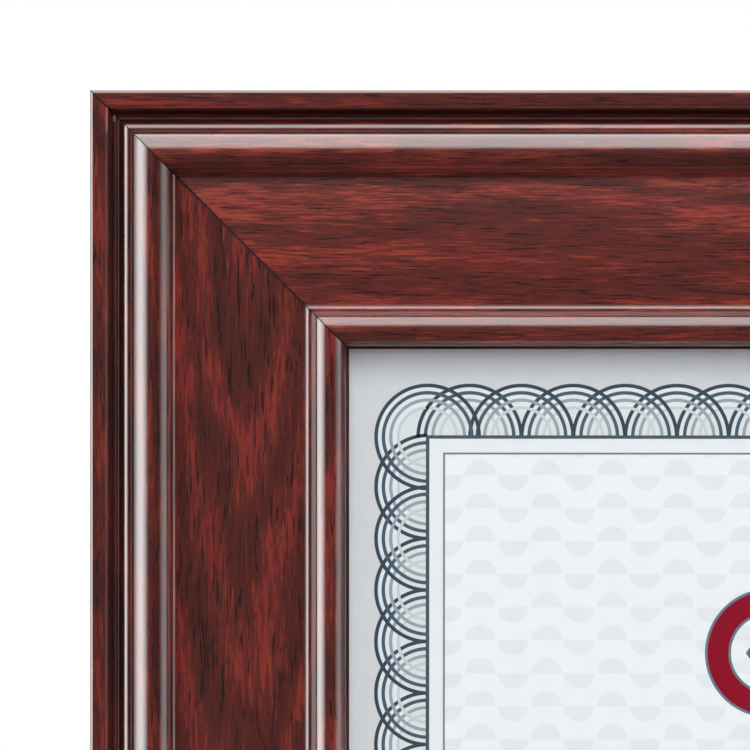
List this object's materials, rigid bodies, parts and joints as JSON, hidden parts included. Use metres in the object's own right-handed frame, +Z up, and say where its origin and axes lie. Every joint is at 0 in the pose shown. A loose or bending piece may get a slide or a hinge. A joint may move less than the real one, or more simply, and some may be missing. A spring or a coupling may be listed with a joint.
{
  "type": "certificate frame",
  "caption": "Wall-hung certificate frame with a beaded, glossy mahogany moulding, glass, a bordered sheet, a backing stack, turn buttons and sawtooth hangers.",
  "frame": {"origin": "in the wall plane, at the notch of the top hanger that sits on the wall's nail", "axes": "+X to the right seen from the front, +Z up, +Y towards the wall; the face looks to -Y"},
  "size_m": [0.3462, 0.021, 0.2827],
  "materials": {
    "mahogany": "gloss lacquer",
    "v_nail_steel": "bare",
    "glass": "clear",
    "certificate_paper": "matt",
    "mount_board": "matt",
    "corrugated_pad": "matt",
    "hardboard": "matt",
    "button_brass_plate": "satin",
    "screw_steel": "zinc",
    "hanger_steel": "zinc",
    "bumper_rubber": "matt"
  },
  "bodies": {
    "frame": {"top_rail": "mahogany", "bottom_rail": "mahogany", "left_rail": "mahogany", "right_rail": "mahogany", "v_nails_top_left": "v_nail_steel", "v_nails_top_right": "v_nail_steel", "v_nails_bottom_left": "v_nail_steel", "v_nails_bottom_right": "v_nail_steel", "glass": "glass", "certificate": "certificate_paper", "mount_board": "mount_board", "filler_pad": "corrugated_pad", "backing_board": "hardboard", "turn_button_screws": "screw_steel", "top_hanger": "hanger_steel", "side_hanger": "hanger_steel", "hanger_nails": "screw_steel", "bumpers": "bumper_rubber"},
    "turn_button_top_left": {"turn_button_top_left": "button_brass_plate"},
    "turn_button_top_right": {"turn_button_top_right": "button_brass_plate"},
    "turn_button_bottom_left": {"turn_button_bottom_left": "button_brass_plate"},
    "turn_button_bottom_right": {"turn_button_bottom_right": "button_brass_plate"},
    "turn_button_left": {"turn_button_left": "button_brass_plate"},
    "turn_button_right": {"turn_button_right": "button_brass_plate"}
  },
  "joints": [
    {"name": "turn_button_top_left_turn", "type": "hinge", "parent": "frame", "child": "turn_button_top_left", "pos_m": [-0.085, -0.00195, -0.0175], "axis": [0, 1, 0], "continuous": true},
    {"name": "turn_button_top_right_turn", "type": "hinge", "parent": "frame", "child": "turn_button_top_right", "pos_m": [0.085, -0.00195, -0.0175], "axis": [0, 1, 0], "continuous": true},
    {"name": "turn_button_bottom_left_turn", "type": "hinge", "parent": "frame", "child": "turn_button_bottom_left", "pos_m": [-0.085, -0.00195, -0.2466], "axis": [0, 1, 0], "continuous": true},
    {"name": "turn_button_bottom_right_turn", "type": "hinge", "parent": "frame", "child": "turn_button_bottom_right", "pos_m": [0.085, -0.00195, -0.2466], "axis": [0, 1, 0], "continuous": true},
    {"name": "turn_button_left_turn", "type": "hinge", "parent": "frame", "child": "turn_button_left", "pos_m": [-0.1463, -0.00195, -0.13205], "axis": [0, 1, 0], "continuous": true},
    {"name": "turn_button_right_turn", "type": "hinge", "parent": "frame", "child": "turn_button_right", "pos_m": [0.1463, -0.00195, -0.13205], "axis": [0, 1, 0], "continuous": true}
  ]
}
